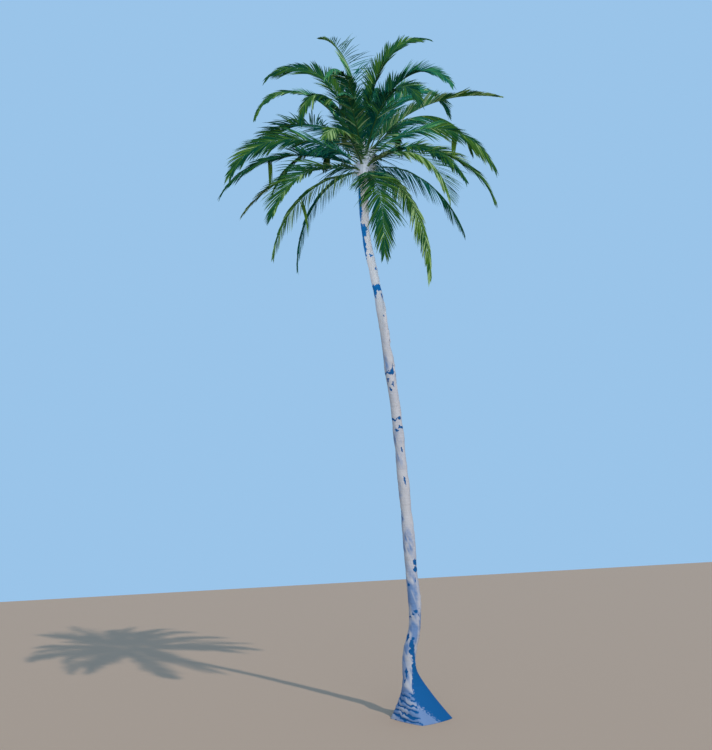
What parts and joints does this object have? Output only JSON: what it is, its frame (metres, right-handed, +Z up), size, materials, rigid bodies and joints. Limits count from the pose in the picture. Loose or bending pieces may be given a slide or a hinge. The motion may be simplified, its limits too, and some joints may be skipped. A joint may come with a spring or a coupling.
{
  "type": "coconut palm tree",
  "caption": "Tall, slender coconut palm with a swaying trunk on a flared foot and a full crown of arching, drooping feather fronds.",
  "frame": {"origin": "middle of the flat cut under the trunk, at ground level", "axes": "+Z up along the trunk, +X to the right and +Y away from the side that the trunk's corner faces; the trunk sways towards -X"},
  "size_m": [7.674, 7.7364, 18.2093],
  "materials": {
    "bark": "dry, matt pale grey bark with leaf scars and blue-grey blotches",
    "sheath": "dry, matt fibrous leaf bases",
    "leaf": "semi-gloss green leaflets on a paler rib"
  },
  "bodies": {
    "root": {"frond_01": "leaf", "frond_02_inner": "leaf", "frond_02_outer": "leaf", "frond_03_inner": "leaf", "frond_03_outer": "leaf", "frond_04_inner": "leaf", "frond_04_outer": "leaf", "frond_05_inner": "leaf", "frond_05_outer": "leaf", "frond_06_inner": "leaf", "frond_06_outer": "leaf", "frond_07_inner": "leaf", "frond_07_outer": "leaf", "frond_08_inner": "leaf", "frond_08_outer": "leaf", "frond_09": "leaf", "frond_10_inner": "leaf", "frond_10_outer": "leaf", "frond_11_inner": "leaf", "frond_11_outer": "leaf", "frond_12": "leaf", "frond_13_inner": "leaf", "frond_13_outer": "leaf", "frond_14_inner": "leaf", "frond_14_outer": "leaf", "frond_15": "leaf", "frond_16": "leaf", "frond_17": "leaf", "frond_18": "leaf", "frond_19": "leaf", "frond_20_inner": "leaf", "frond_20_outer": "leaf", "frond_21_inner": "leaf", "frond_21_outer": "leaf", "frond_22": "leaf", "frond_23_inner": "leaf", "frond_23_outer": "leaf", "frond_24_inner": "leaf", "frond_24_outer": "leaf", "frond_25_inner": "leaf", "frond_25_outer": "leaf", "frond_26_inner": "leaf", "frond_26_outer": "leaf", "frond_27": "leaf", "frond_28_inner": "leaf", "frond_28_outer": "leaf", "frond_29_inner": "leaf", "frond_29_outer": "leaf", "frond_30_inner": "leaf", "frond_30_outer": "leaf", "frond_31_inner": "leaf", "frond_31_outer": "leaf", "frond_32_inner": "leaf", "frond_32_outer": "leaf", "frond_33_inner": "leaf", "frond_33_outer": "leaf", "heart": "sheath", "trunk": "bark"}
  },
  "joints": []
}
